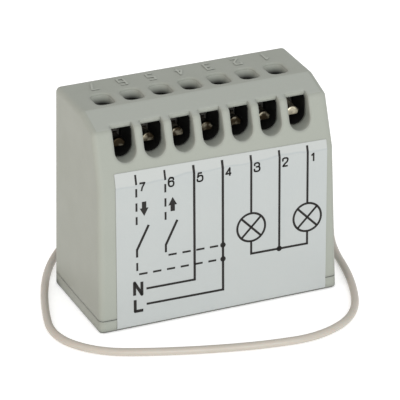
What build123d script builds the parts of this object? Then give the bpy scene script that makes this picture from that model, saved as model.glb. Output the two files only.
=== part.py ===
# Wireless light controller: a small seven-terminal radio relay module with a wire aerial.
# Millimetres. +Z is up, +X runs along the terminal row, the labelled front faces -Y.
# The origin is the middle of the flat underside.
from math import cos, pi, radians, tan
import os

from build123d import *

os.makedirs("parts", exist_ok=True)

# Terminals in a row, they set the case's width
terminal_count = 7
terminal_pitch = 5.08

# Case
case_side = 3.32  # case beyond the terminal row at each end
case_width = terminal_count * terminal_pitch + 2 * case_side  # across the underside
case_depth = 20.5  # at the underside
case_height = 35.7
side_draft = 1.1  # degrees, each side wall
back_lean = 0.3  # the back wall's set-in at the top
wall = 1.2
corner_radius = 0.9
crease_drop = 10.4  # below the roof, where the front starts to slope back
crease_setback = 0.86
eave_drop = 1.7  # below the roof, where the slope turns into the bevel
eave_setback = 3.6
ridge_margin = 1.1  # flat roof ahead of the screwdriver holes
fit_gap = 0.1

# Base cover
cover_rim = 2.1  # height of the cover's visible edge
cover_floor = 1.5
groove = 0.1  # the line between the cover and the case
edge_round = 0.4
lip_length = 30.0
lip_height = 3.0
lip_thickness = 1.0
hook_length = 6.0
hook_spacing = 18.0
hook_height = 1.0
hook_reach = 0.4
hook_nose = 0.3  # the hook's square edge, its slope starts above it

# Front label
label_margin = 2.55  # case beside the label at each side
label_drop = 8.6  # its upper edge below the roof
label_bottom = 0.45
label_shift = 0.6  # it sits a little to the right
label_skew = 0.95  # degrees clockwise, it was stuck on slightly turned
label_thickness = 0.12
label_corner = 0.15

# Wire entries and screwdriver holes
entry_width = 3.8
entry_depth = 7.0  # the entries' round bottoms below the roof
entry_drop = 2.0  # the passages' flat tops below the roof
chute_setback = 4.9  # the open chutes end this far behind the front's foot
entry_sill = 1.0  # case material left under the entries
driver_hole_width = 3.3
driver_hole_depth = 4.2
driver_hole_round = 1.1
driver_hole_rim = 0.3

# Clamp, from the top down
head_room = 0.2  # roof to screw head
head_height = 0.8
head_radius = 1.6
head_slot = 0.6
head_slot_depth = 0.45
well_gap = 0.15
shank_radius = 1.1
shank_gap = 0.05
tip_gap = 0.03
clamp_wall = 0.6
clamp_side = 0.45
clamp_width = 3.6
clamp_length = 5.4
clamp_travel = 1.8
clamp_gap = 0.15  # clamp to the cavity's sides
plate_gap = 0.5  # clamp to the upright plate behind it
bar_thickness = 0.8
bar_width = 2.2
bar_round = 0.4  # its lower edges
bar_reach = 4.0  # bar's front end ahead of the clamp
tongue_rise = 0.7  # the bar's rounded front end stands above it
tongue_thickness = 0.6
tongue_round = 0.2  # its front edges
contact_plate = 0.7
block_skin = 0.8  # block floor below the cavities

# Circuit board
board_thickness = 1.6
board_edge_gap = 0.54  # board to each side wall, under the roof
board_foot_gap = 0.2
board_head_gap = 0.2
rear_space = 1.5  # board to the back wall's foot
rail_width = 1.0
rail_hold = 0.7  # how far the rails reach over the board's edges
pin_gap = 0.05
pin_tail = 0.7  # pins stand out behind the board
pin_size = 0.8
lead_size = 0.6
stand_off = 0.2

# Relays
relay_width = 10.0
relay_length = 17.6
relay_height = 12.2
relay_shell = 0.7
relay_base_thickness = 1.4
relay_lift = 5.4  # lower end above the underside
relay_gap = 0.4  # between the two relays
relay_margin = 0.95  # outer relay to the board's edge
yoke_width = 7.0
yoke_thickness = 0.9
yoke_foot = 1.2  # yoke's lower face above the relay's lower end
yoke_roof = 10.9  # yoke's far face off the board
coil_pin_place = 2.7  # coil pins to either side of the middle
coil_pin_rise = 2.8  # above the yoke's foot
coil_radius = 3.3
coil_length = 10.0
coil_flange = 0.8
coil_waist = 0.5
core_radius = 1.1
core_gap = 0.05
pole_radius = 2.0
pole_thickness = 0.5
pole_gap = 0.45  # pole face to the open armature
pivot_gap = 0.05
armature_thickness = 0.9
armature_foot = 3.4  # lower end off the board
leaf_thickness = 0.2
leaf_width = 3.0
leaf_foot = 1.75
contact_radius = 0.6
contact_height = 2.4  # contact centre off the board
contact_thickness = 0.75
contact_rest_gap = 0.65

# Power supply, beside the relays
supply_margin = 1.0  # to the board's edge
fuse_radius = 2.8
fuse_height = 8.0
fuse_lead = 1.3  # leads to either side of the middle
varistor_radius = 3.2
varistor_thickness = 3.2
varistor_lead = 2.2
film_lead_inset = 1.2
film_width = 8.7
film_depth = 9.5
film_height = 4.4
core_width = 8.4
core_depth = 6.0
core_leg = 2.2
core_window = 2.0
core_end = 1.5
winding_depth = 8.6
winding_lead_x = 2.2
winding_lead_z = 1.8
input_can_radius = 3.1
input_can_length = 10.8
input_can_lead = 1.2
output_can_radius = 2.5
output_can_length = 7.0
output_can_lead = 1.0
can_seam = 0.25

# Chips: width, height, thickness off the board
rectifier_size = (4.6, 2.6, 2.2)
regulator_size = (4.4, 2.4, 1.5)
microcontroller_size = (6.0, 6.0, 1.0)
radio_size = (4.0, 4.0, 0.9)
crystal_size = (3.2, 2.5, 0.8)
driver_size = (1.4, 2.9, 1.0)
resistor_size = (1.2, 2.0, 0.55)
capacitor_size = (1.6, 0.8, 0.8)
chip_gap = 0.9  # between neighbours on the board's back
chip_pitch = 2.5
chip_count = 4
chip_foot = 0.5  # lowest chips above the board's lower edge
leg_fine = 0.3
leg_stout = 0.5

# Aerial wire
wire_diameter = 1.3
wire_hole_gap = 0.1
wire_exit_x = -8.0
wire_exit_height = 6.6

# Raised numbers on the roof
digit_width = 1.05
digit_height = 2.3
digit_stroke = 0.34
digit_rise = 0.12
digit_aside = 0.25  # the numbers stand a little to the right of the holes
digit_place = 4.9  # middle of the numbers behind the screws

# Derived places
front_y = -case_depth / 2
back_y = case_depth / 2
crease_height = case_height - crease_drop
eave_height = case_height - eave_drop
entry_bottom = case_height - entry_depth
entry_top = case_height - entry_drop
cover_joint = cover_rim + groove
label_width = case_width - 2 * label_margin
label_top = case_height - label_drop
roof_inside = case_height - wall
head_top = roof_inside - head_room
head_bottom = head_top - head_height
clamp_closed_top = head_bottom - fit_gap
bar_top = clamp_closed_top - clamp_wall - clamp_travel - fit_gap
bar_bottom = bar_top - bar_thickness
clamp_window = bar_thickness + clamp_travel + 2 * fit_gap
clamp_open_top = bar_top + fit_gap + clamp_wall
clamp_open_bottom = clamp_open_top - 2 * clamp_wall - clamp_window
cavity_floor = clamp_open_bottom - clamp_gap
block_bottom = cavity_floor - block_skin
board_back = back_y - wall - rear_space
board_front = board_back - board_thickness
block_back = board_front - fit_gap
plate_front = block_back - contact_plate
screw_y = plate_front - plate_gap - clamp_length / 2
clamp_front = screw_y - clamp_length / 2
cavity_front = clamp_front - clamp_gap
ridge_y = screw_y - driver_hole_depth / 2 - ridge_margin
board_bottom = cover_floor + board_foot_gap
board_top = roof_inside - board_head_gap
side_lean = tan(radians(side_draft))
roof_width = case_width - 2 * side_lean * roof_inside - 2 * wall / cos(radians(side_draft))
board_width = roof_width - 2 * board_edge_gap
rail_inset = board_width / 2 - rail_hold
pin_end = board_back + pin_tail
terminal_row = [(terminal_count + 1) / 2 - number for number in range(1, terminal_count + 1)]
terminal_x = [place * terminal_pitch for place in terminal_row]
block_length = terminal_count * terminal_pitch
chute_end = front_y + chute_setback


def box(x_span, y_span, z_span, mode=Mode.ADD):
    # a block given by its two ends along each axis
    middle = tuple((span[0] + span[1]) / 2 for span in (x_span, y_span, z_span))
    size = tuple(abs(span[1] - span[0]) for span in (x_span, y_span, z_span))
    with Locations(middle):
        Box(*size, mode=mode)


def across(centre, width):
    # the two ends of a width about its centre
    return (centre - width / 2, centre + width / 2)


def side_profile(inset, foot):
    # the case seen from its side, set in by a wall, with its foot at a height
    lean = crease_setback / crease_height
    with BuildSketch(Plane.YZ) as profile:
        with BuildLine():
            Polyline(
                (front_y + lean * foot, foot),
                (front_y + crease_setback, crease_height),
                (front_y + eave_setback, eave_height),
                (ridge_y, case_height),
                (back_y - back_lean, case_height),
                (back_y - back_lean * foot / case_height, foot),
                close=True,
            )
        make_face()
        if inset != 0:
            offset(amount=-inset, kind=Kind.INTERSECTION)
    return profile.sketch


def front_profile(inset, foot):
    # the case seen from its front, with drafted sides
    half_foot = case_width / 2 - side_lean * foot
    half_top = case_width / 2 - side_lean * case_height
    with BuildSketch(Plane.XZ) as profile:
        with BuildLine():
            Polyline(
                (-half_foot, foot),
                (half_foot, foot),
                (half_top, case_height),
                (-half_top, case_height),
                close=True,
            )
        make_face()
        if inset != 0:
            offset(amount=-inset, kind=Kind.INTERSECTION)
    return profile.sketch


def case_block(inset, foot):
    # the case's outline as a solid
    with BuildPart() as block:
        extrude(side_profile(inset, foot), amount=case_width, both=True)
        extrude(front_profile(inset, foot), amount=case_depth, both=True, mode=Mode.INTERSECT)
    return block.part


def rounded_case(foot):
    # the outline with its upright, sloping and top edges rounded
    with BuildPart() as block:
        add(case_block(0, foot))
        low_edges = block.faces().sort_by(Axis.Z)[0].edges()
        fillet(block.edges() - low_edges, corner_radius)
    return block.part


def entry_outline(top):
    # the wire entries: straight sides up to a height, round bottoms
    half = entry_width / 2
    middle = entry_bottom + half
    with BuildSketch(Plane.XZ) as outline:
        for x in terminal_x:
            with BuildLine():
                Line((x - half, middle), (x - half, top))
                Line((x - half, top), (x + half, top))
                Line((x + half, top), (x + half, middle))
                ThreePointArc((x + half, middle), (x, entry_bottom), (x - half, middle))
            make_face()
    return outline.sketch


# Raised numbers, drawn as bent strokes in a box one wide and one high
digit_strokes = {
    1: [[(0.2, 0.75), (0.6, 1.0), (0.6, 0.0)]],
    2: [[(0.0, 0.75), (0.0, 1.0), (1.0, 1.0), (1.0, 0.6), (0.0, 0.0), (1.0, 0.0)]],
    3: [
        [(0.0, 1.0), (1.0, 1.0), (1.0, 0.53), (0.4, 0.53)],
        [(0.4, 0.53), (1.0, 0.53), (1.0, 0.0), (0.0, 0.0)],
    ],
    4: [[(0.7, 0.0), (0.7, 1.0), (0.0, 0.3), (1.0, 0.3)]],
    5: [[(0.95, 1.0), (0.05, 1.0), (0.05, 0.55), (1.0, 0.55), (1.0, 0.0), (0.0, 0.0)]],
    6: [[(0.9, 1.0), (0.0, 1.0), (0.0, 0.0), (1.0, 0.0), (1.0, 0.55), (0.0, 0.55)]],
    7: [[(0.0, 1.0), (1.0, 1.0), (0.35, 0.0)]],
    8: [
        [(0.0, 0.0), (0.0, 1.0), (1.0, 1.0), (1.0, 0.0)],
        [(0.0, 0.0), (1.0, 0.0)],
        [(0.0, 0.53), (1.0, 0.53)],
    ],
}


def digit_face(number, x, y):
    # one number with round stroke ends, turned to be read from the back
    with BuildSketch(Plane.XY.offset(case_height)) as face:
        for stroke in digit_strokes[number]:
            points = [
                (x - digit_width * (along - 0.5), y - digit_height * (up - 0.5))
                for along, up in stroke
            ]
            with Locations(points):
                Circle(digit_stroke / 2)
            for start, end in zip(points, points[1:]):
                with BuildLine():
                    Line(start, end)
                trace(line_width=digit_stroke)
    return face.sketch


# Wire entries: open chutes in the slope, then closed passages to the clamps
with BuildPart() as chutes:
    extrude(entry_outline(case_height), amount=case_depth)
    box((-case_width, case_width), (chute_end, case_depth), (0, case_height), Mode.SUBTRACT)
with BuildPart() as passages:
    extrude(entry_outline(entry_top), amount=case_depth, both=True)
    box((-case_width, case_width), (-case_depth, chute_end - fit_gap), (0, case_height), Mode.SUBTRACT)
    box((-case_width, case_width), (cavity_front + fit_gap, case_depth), (0, case_height), Mode.SUBTRACT)

# Inside of the case: solid in front of the passages
with BuildPart() as hollow:
    add(case_block(wall, -cover_joint))
    sill = entry_bottom - entry_sill
    box((-case_width, case_width), (-case_depth, chute_end), (sill, case_height), Mode.SUBTRACT)

# Housing: a drafted shell, open at the foot
with BuildPart() as housing:
    add(rounded_case(cover_joint))
    add(hollow.part, mode=Mode.SUBTRACT)
    add(chutes.part, mode=Mode.SUBTRACT)
    add(passages.part, mode=Mode.SUBTRACT)
    # screwdriver holes, rounded squares with a soft rim
    with BuildSketch(Plane.XY.offset(case_height)):
        with Locations([(x, screw_y) for x in terminal_x]):
            RectangleRounded(driver_hole_width, driver_hole_depth, driver_hole_round)
    extrude(amount=-2 * wall, mode=Mode.SUBTRACT)
    roof_edges = housing.faces().sort_by(Axis.Z)[-1].inner_wires().edges()
    fillet(roof_edges, driver_hole_rim)
    # rails that hold the board's two edges
    for side in (-1, 1):
        rail_x = (side * rail_inset, side * (case_width / 2 - wall))
        rail_z = (cover_joint + lip_height + 1, roof_inside)
        box(rail_x, (board_front - fit_gap - rail_width, board_front - fit_gap), rail_z)
        box(rail_x, (board_back + fit_gap, board_back + fit_gap + rail_width), rail_z)
    # grooves for the cover's hooks
    for side in (-1, 1):
        groove_y = side * (case_depth / 2 - wall)
        for x in (-hook_spacing / 2, hook_spacing / 2):
            groove_z = cover_joint + lip_height - hook_height
            box(
                across(x, hook_length + 2 * fit_gap),
                (groove_y - side * 2 * wall, groove_y + side * (hook_reach + fit_gap)),
                (groove_z - 2 * fit_gap, groove_z + hook_height + fit_gap),
                mode=Mode.SUBTRACT,
            )
    # the aerial's hole in the back wall
    with BuildSketch(Plane.XZ.offset(-back_y - wall)):
        with Locations((wire_exit_x, wire_exit_height)):
            Circle(wire_diameter / 2 + wire_hole_gap)
    extrude(amount=2.5 * wall, mode=Mode.SUBTRACT)
    # raised numbers behind the holes
    for number, x in enumerate(terminal_x, start=1):
        extrude(digit_face(number, x + digit_aside, screw_y + digit_place), amount=digit_rise)
housing.part.label = "housing"
export_step(housing.part, "parts/housing.step")

# Base cover: the rim seen below the groove, with two hooked lips inside
with BuildPart() as base_cover:
    add(rounded_case(0))
    above = (cover_rim, 2 * case_height)
    box((-case_width, case_width), (-case_depth, case_depth), above, Mode.SUBTRACT)
    foot_edges = base_cover.faces().sort_by(Axis.Z)[0].edges()
    fillet(foot_edges, edge_round)
    inner_x = case_width / 2 - wall - lip_thickness
    inner_y = case_depth / 2 - wall - lip_thickness - fit_gap
    box((-inner_x, inner_x), (-inner_y, inner_y), (cover_floor, case_height), Mode.SUBTRACT)
    for side in (-1, 1):
        lip_y = side * (case_depth / 2 - wall - fit_gap)
        if side < 0:
            lip_y = lip_y + crease_setback * (cover_rim + lip_height) / crease_height
        else:
            lip_y = lip_y - back_lean * (cover_rim + lip_height) / case_height
        lip_top = cover_joint + lip_height
        box(across(0, lip_length), (lip_y - side * lip_thickness, lip_y), (cover_floor, lip_top))
        for x in (-hook_spacing / 2, hook_spacing / 2):
            with BuildSketch(Plane.YZ.offset(x - hook_length / 2)):
                with BuildLine():
                    Polyline(
                        (lip_y - side * fit_gap, lip_top - hook_height),
                        (lip_y + side * hook_reach, lip_top - hook_height),
                        (lip_y + side * hook_reach, lip_top - hook_height + hook_nose),
                        (lip_y - side * fit_gap, lip_top),
                        close=True,
                    )
                make_face()
            extrude(amount=hook_length)
base_cover.part.label = "base_cover"
export_step(base_cover.part, "parts/base_cover.step")

# Front label: a thin sheet over the crease and over the cover's joint, cut off at the foot
with BuildPart() as front_label:
    add(case_block(-label_thickness, 0))
    add(case_block(0, -wall), mode=Mode.SUBTRACT)
    with BuildSketch(Plane.XZ):
        with Locations(Location((label_shift, label_top / 2, 0), (0, 0, -label_skew))):
            RectangleRounded(label_width, label_top, label_corner)
    extrude(amount=case_depth, mode=Mode.INTERSECT)
    box(across(0, 2 * case_width), (-case_depth, 0), (label_bottom, case_height), mode=Mode.INTERSECT)
front_label.part.label = "front_label"
export_step(front_label.part, "parts/front_label.step")

# Terminal block: one moulding with seven clamp cavities, open to the board
with BuildPart() as terminal_block:
    extrude(side_profile(wall + fit_gap, 0), amount=block_length / 2, both=True)
    block_y = (chute_end + fit_gap, block_back)
    box(across(0, 2 * case_width), block_y, (block_bottom, case_height), mode=Mode.INTERSECT)
    for x in terminal_x:
        box(
            across(x, clamp_width + 2 * clamp_gap),
            (cavity_front, case_depth),
            (cavity_floor, head_bottom),
            Mode.SUBTRACT,
        )
    add(passages.part, mode=Mode.SUBTRACT)
    with BuildSketch(Plane.XY.offset(head_bottom - fit_gap)):
        with Locations([(x, screw_y) for x in terminal_x]):
            Circle(head_radius + well_gap)
    extrude(amount=case_height, mode=Mode.SUBTRACT)
terminal_block.part.label = "terminal_block"
export_step(terminal_block.part, "parts/terminal_block.step")


def make_contact(number, x):
    # the fixed bar that a wire is pressed against, with its pin through the board
    with BuildPart() as contact:
        bar_front = clamp_front - bar_reach
        bar_z = (bar_bottom, bar_top)
        box(across(x, bar_width), (bar_front, block_back), bar_z)
        # rounded tongue that keeps a wire from going over the bar
        with BuildSketch(Plane.XZ.offset(-bar_front)):
            with BuildLine():
                half = bar_width / 2
                shoulder = bar_top + tongue_rise - half
                Line((x - half, bar_bottom), (x + half, bar_bottom))
                Line((x + half, bar_bottom), (x + half, shoulder))
                ThreePointArc((x + half, shoulder), (x, shoulder + half), (x - half, shoulder))
                Line((x - half, shoulder), (x - half, bar_bottom))
            make_face()
        extrude(amount=-tongue_thickness)
        fillet(contact.edges().filter_by(Axis.Y).group_by(Axis.Z)[0], bar_round)
        fillet(contact.faces().sort_by(Axis.Y)[0].edges(), tongue_round)
        box(across(x, bar_width), (plate_front, block_back), (clamp_open_bottom, bar_top))
        pin_z = across((clamp_open_bottom + bar_top) / 2, pin_size)
        box(across(x, pin_size), (block_back, pin_end), pin_z)
    contact.part.label = f"terminal_contact_{number}"
    export_step(contact.part, f"parts/terminal_contact_{number}.step")


def make_clamp(number, x):
    # the cage that the screw lifts, shown open, at its lowest
    with BuildPart() as clamp:
        clamp_y = (clamp_front, clamp_front + clamp_length)
        box(across(x, clamp_width), clamp_y, (clamp_open_bottom, clamp_open_top))
        window_z = (clamp_open_bottom + clamp_wall, clamp_open_top - clamp_wall)
        box(across(x, clamp_width - 2 * clamp_side), clamp_y, window_z, Mode.SUBTRACT)
        with BuildSketch(Plane.XY.offset(clamp_open_top)):
            with Locations((x, screw_y)):
                Circle(shank_radius + shank_gap)
        extrude(amount=-2 * clamp_wall, mode=Mode.SUBTRACT)
        upright = clamp.edges().filter_by(Axis.Z).group_by(SortBy.LENGTH)[-1]
        fillet(upright, clamp_side / 2)
    clamp.part.label = f"terminal_clamp_{number}"
    export_step(clamp.part, f"parts/terminal_clamp_{number}.step")


def make_screw(number, x):
    # slotted clamp screw, its tip on the bar and its head under the roof
    with BuildPart() as screw:
        with BuildSketch(Plane.XY.offset(bar_top + tip_gap)):
            with Locations((x, screw_y)):
                Circle(shank_radius)
        extrude(amount=head_bottom - bar_top - tip_gap)
        tip = screw.faces().sort_by(Axis.Z)[0].edges()
        chamfer(tip, 2 * fit_gap)
        with BuildSketch(Plane.XY.offset(head_bottom)):
            with Locations((x, screw_y)):
                Circle(head_radius)
        extrude(amount=head_height)
        brim = screw.faces().sort_by(Axis.Z)[-1].edges()
        chamfer(brim, 2 * fit_gap)
        slot_z = (head_top - head_slot_depth, head_top + head_room)
        box(across(x, 2 * head_radius + head_slot), across(screw_y, head_slot), slot_z, Mode.SUBTRACT)
    screw.part.label = f"terminal_screw_{number}"
    export_step(screw.part, f"parts/terminal_screw_{number}.step")


for number, x in enumerate(terminal_x, start=1):
    make_contact(number, x)
    make_clamp(number, x)
    make_screw(number, x)

# Relay places: the outer one lies behind terminals 1 and 2
outer_relay_x = board_width / 2 - relay_margin - relay_width / 2
relay_x = [outer_relay_x, outer_relay_x - relay_width - relay_gap]
yoke_end = yoke_foot + yoke_thickness + fit_gap + coil_length + pole_gap + pole_thickness
button_drop = yoke_end + pivot_gap + armature_thickness - contact_thickness - contact_rest_gap
relay_pins = [
    (-coil_pin_place, yoke_foot + coil_pin_rise),
    (coil_pin_place, yoke_foot + coil_pin_rise),
    (0.0, yoke_foot + yoke_thickness / 2),
    (0.0, button_drop - leaf_thickness - pin_size / 2),
]


def off_board(distance):
    # a place in front of the board
    return board_front - distance


def off_span(near, far):
    # two distances in front of the board
    return (off_board(far), off_board(near))


def make_relay(number, x):
    low = relay_lift
    inner_width = relay_width - 2 * relay_shell
    inner_length = (low + relay_shell, low + relay_length - relay_shell)
    coil_centre = yoke_roof - yoke_thickness - fit_gap - coil_radius
    pins = [(x + pin_x, low + pin_z) for pin_x, pin_z in relay_pins]

    with BuildPart() as cover:
        box(across(x, relay_width), off_span(stand_off, relay_height), (low, low + relay_length))
        fillet(cover.edges().filter_by(Axis.Y), relay_shell)
        hollow_y = off_span(-stand_off, relay_height - relay_shell)
        box(across(x, inner_width), hollow_y, inner_length, Mode.SUBTRACT)
    cover.part.label = f"relay_{number}_cover"
    export_step(cover.part, f"parts/relay_{number}_cover.step")

    with BuildPart() as base:
        base_z = (inner_length[0] + fit_gap, inner_length[1] - fit_gap)
        box(across(x, inner_width - 2 * fit_gap), off_span(stand_off, relay_base_thickness), base_z)
        for pin_x, pin_z in pins:
            hole = pin_size + 2 * pin_gap
            hole_y = off_span(0, 2 * relay_base_thickness)
            box(across(pin_x, hole), hole_y, across(pin_z, hole), Mode.SUBTRACT)
    base.part.label = f"relay_{number}_base"
    export_step(base.part, f"parts/relay_{number}_base.step")

    coil_start = low + yoke_foot + yoke_thickness + fit_gap / 2
    with BuildPart() as coil:
        with BuildSketch(Plane.XY.offset(coil_start)):
            with Locations((x, off_board(coil_centre))):
                Circle(coil_radius)
        extrude(amount=coil_length)
        with BuildSketch(Plane.XY.offset(coil_start + coil_flange)):
            with Locations((x, off_board(coil_centre))):
                Circle(coil_radius + fit_gap)
                Circle(coil_radius - coil_waist, mode=Mode.SUBTRACT)
        extrude(amount=coil_length - 2 * coil_flange, mode=Mode.SUBTRACT)
        with BuildSketch(Plane.XY.offset(coil_start - fit_gap)):
            with Locations((x, off_board(coil_centre))):
                Circle(core_radius + core_gap)
        extrude(amount=coil_length + 2 * fit_gap, mode=Mode.SUBTRACT)
    coil.part.label = f"relay_{number}_coil"
    export_step(coil.part, f"parts/relay_{number}_coil.step")

    with BuildPart() as coil_pins:
        for pin_x, pin_z in pins[:2]:
            pin_y = (off_board(2 * relay_base_thickness), pin_end)
            box(across(pin_x, pin_size), pin_y, across(pin_z, pin_size))
    coil_pins.part.label = f"relay_{number}_coil_pins"
    export_step(coil_pins.part, f"parts/relay_{number}_coil_pins.step")

    # L-shaped yoke with the coil's core and pole, and its own pin
    end_z = low + yoke_end
    pole_face = end_z + pivot_gap - pole_gap
    with BuildPart() as yoke:
        foot_z = (low + yoke_foot, low + yoke_foot + yoke_thickness)
        box(across(x, yoke_width), off_span(coil_centre - coil_radius, yoke_roof), foot_z)
        edge_z = end_z - yoke_thickness / 2
        box(across(x, yoke_width), off_span(yoke_roof - yoke_thickness, yoke_roof), (foot_z[0], edge_z))
        # the round edge that the armature rocks on
        with BuildSketch(Plane.YZ.offset(x)):
            with Locations((off_board(yoke_roof - yoke_thickness / 2), edge_z)):
                Circle(yoke_thickness / 2)
        extrude(amount=yoke_width / 2, both=True)
        with BuildSketch(Plane.XY.offset(foot_z[0])):
            with Locations((x, off_board(coil_centre))):
                Circle(core_radius)
        extrude(amount=pole_face - foot_z[0])
        with BuildSketch(Plane.XY.offset(coil_start + coil_length + fit_gap / 2)):
            with Locations((x, off_board(coil_centre))):
                Circle(pole_radius)
        extrude(amount=pole_face - coil_start - coil_length - fit_gap / 2)
        pin_x, pin_z = pins[2]
        pin_y = (off_board(coil_centre), pin_end)
        box(across(pin_x, pin_size), pin_y, across(pin_z, pin_size))
    yoke.part.label = f"relay_{number}_yoke"
    export_step(yoke.part, f"parts/relay_{number}_yoke.step")

    # armature, open, on the yoke's round edge
    face_z = end_z + pivot_gap
    outer_z = face_z + armature_thickness
    with BuildPart() as armature:
        box(across(x, yoke_width), off_span(armature_foot, yoke_roof), (face_z, outer_z))
    armature.part.label = f"relay_{number}_armature"
    export_step(armature.part, f"parts/relay_{number}_armature.step")

    # leaf on the armature with the moving contact at its foot
    with BuildPart() as spring:
        leaf_y = off_span(leaf_foot, yoke_roof - yoke_thickness)
        box(across(x, leaf_width), leaf_y, (outer_z, outer_z + leaf_thickness))
        with BuildSketch(Plane.XY.offset(outer_z)):
            with Locations((x, off_board(contact_height))):
                Circle(contact_radius)
        extrude(amount=-contact_thickness)
    spring.part.label = f"relay_{number}_contact_spring"
    export_step(spring.part, f"parts/relay_{number}_contact_spring.step")

    # fixed contact below it, on its pin
    button_z = low + button_drop
    with BuildPart() as fixed:
        with BuildSketch(Plane.XY.offset(button_z)):
            with Locations((x, off_board(contact_height))):
                Circle(contact_radius)
        extrude(amount=-leaf_thickness)
        post_z = across(pins[3][1], pin_size)
        post_top = button_z - leaf_thickness
        post_y = off_span(relay_base_thickness, contact_height + contact_radius)
        box(across(x, 2 * contact_radius), post_y, (post_top - 2 * leaf_thickness, post_top))
        box(across(x, pin_size), (off_board(2 * relay_base_thickness - fit_gap), pin_end), post_z)
    fixed.part.label = f"relay_{number}_fixed_contact"
    export_step(fixed.part, f"parts/relay_{number}_fixed_contact.step")


for number, x in enumerate(relay_x, start=1):
    make_relay(number, x)

# Power supply, in the space left of the relays
supply_right = relay_x[1] - relay_width / 2 - relay_gap / 2
supply_top = block_bottom - 2 * fit_gap
film_left = -board_width / 2 + supply_margin
film_x = (film_left, film_left + film_width)
film_z = (supply_top - film_height, supply_top)
fuse_x = supply_right - fuse_radius
fuse_z = supply_top - fuse_radius
transformer_x = film_left + core_width / 2
transformer_z = film_z[0] - 2 * relay_gap - core_width / 2
input_can_x = supply_right - input_can_radius
input_can_z = fuse_z - fuse_radius - relay_gap - input_can_radius
output_can_x = input_can_x
output_can_z = input_can_z - input_can_radius - relay_gap - output_can_radius
varistor_x = transformer_x
varistor_z = transformer_z - core_width / 2 - relay_gap - varistor_thickness / 2
fuse_leads = [(fuse_x + side * fuse_lead, fuse_z) for side in (-1, 1)]
film_middle = film_z[0] + film_height / 2
film_leads = [(film_x[0] + film_lead_inset, film_middle), (film_x[1] - film_lead_inset, film_middle)]
varistor_leads = [(varistor_x + side * varistor_lead, varistor_z) for side in (-1, 1)]
input_leads = [(input_can_x, input_can_z + side * input_can_lead) for side in (-1, 1)]
output_leads = [(output_can_x + side * output_can_lead, output_can_z) for side in (-1, 1)]
transformer_leads = [
    (transformer_x + side_x * winding_lead_x, transformer_z + side_z * winding_lead_z)
    for side_x in (-1, 1)
    for side_z in (-1, 1)
]
all_leads = fuse_leads + film_leads + varistor_leads + input_leads + output_leads + transformer_leads


def add_leads(leads, start):
    # wire leads from a component through the board
    for lead_x, lead_z in leads:
        with BuildSketch(Plane.XZ.offset(-start)) as lead:
            with Locations((lead_x, lead_z)):
                Circle(lead_size / 2)
        extrude(lead.sketch, amount=start - pin_end)


with BuildPart() as fuse:
    with BuildSketch(Plane.XZ.offset(-off_board(stand_off))):
        with Locations((fuse_x, fuse_z)):
            Circle(fuse_radius)
    extrude(amount=fuse_height)
    fillet(fuse.faces().sort_by(Axis.Y)[0].edges(), 2 * can_seam)
    add_leads(fuse_leads, off_board(2 * stand_off))
fuse.part.label = "fuse"
export_step(fuse.part, "parts/fuse.step")

with BuildPart() as varistor:
    disc_y = off_board(2 * stand_off + varistor_radius)
    with BuildSketch(Plane.XY.offset(varistor_z - varistor_thickness / 2)):
        with Locations((varistor_x, disc_y)):
            Circle(varistor_radius)
    extrude(amount=varistor_thickness)
    fillet(varistor.edges(), varistor_thickness / 4)
    add_leads(varistor_leads, disc_y)
varistor.part.label = "varistor"
export_step(varistor.part, "parts/varistor.step")

with BuildPart() as film_capacitor:
    box(film_x, off_span(stand_off, film_depth), film_z)
    fillet(film_capacitor.edges().filter_by(Axis.Y), 2 * can_seam)
    add_leads(film_leads, off_board(2 * stand_off))
film_capacitor.part.label = "film_capacitor"
export_step(film_capacitor.part, "parts/film_capacitor.step")

core_y = across(off_board(stand_off + winding_depth / 2), core_depth)
window_height = core_width - 2 * core_end
with BuildPart() as transformer_core:
    box(across(transformer_x, core_width), core_y, across(transformer_z, core_width))
    for side in (-1, 1):
        window_x = transformer_x + side * (core_leg + core_window) / 2
        window_z = across(transformer_z, window_height)
        box(across(window_x, core_window), core_y, window_z, Mode.SUBTRACT)
transformer_core.part.label = "transformer_core"
export_step(transformer_core.part, "parts/transformer_core.step")

with BuildPart() as transformer_winding:
    winding_width = core_leg + 2 * core_window - 2 * fit_gap
    winding_y = off_span(stand_off, stand_off + winding_depth)
    winding_z = across(transformer_z, window_height - 2 * fit_gap)
    box(across(transformer_x, winding_width), winding_y, winding_z)
    fillet(transformer_winding.edges().filter_by(Axis.Z), core_window / 2)
    leg_y = across(off_board(stand_off + winding_depth / 2), core_depth + 2 * fit_gap)
    box(across(transformer_x, core_leg + 2 * fit_gap), leg_y, winding_z, Mode.SUBTRACT)
    add_leads(transformer_leads, off_board(3 * stand_off))
transformer_winding.part.label = "transformer_winding"
export_step(transformer_winding.part, "parts/transformer_winding.step")


def make_can(name, x, z, radius, length, leads):
    # electrolytic capacitor standing on the board
    with BuildPart() as can:
        with BuildSketch(Plane.XZ.offset(-off_board(stand_off))):
            with Locations((x, z)):
                Circle(radius)
        extrude(amount=length)
        fillet(can.faces().sort_by(Axis.Y)[0].edges(), can_seam)
        seam_y = off_board(stand_off + 4 * can_seam)
        with BuildSketch(Plane.XZ.offset(-seam_y)):
            with Locations((x, z)):
                Circle(radius + can_seam)
                Circle(radius - can_seam, mode=Mode.SUBTRACT)
        extrude(amount=can_seam, mode=Mode.SUBTRACT)
        add_leads(leads, off_board(2 * stand_off))
    can.part.label = name
    export_step(can.part, f"parts/{name}.step")


make_can(
    "input_capacitor", input_can_x, input_can_z, input_can_radius, input_can_length, input_leads
)
make_can(
    "output_capacitor", output_can_x, output_can_z, output_can_radius, output_can_length, output_leads
)


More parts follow.
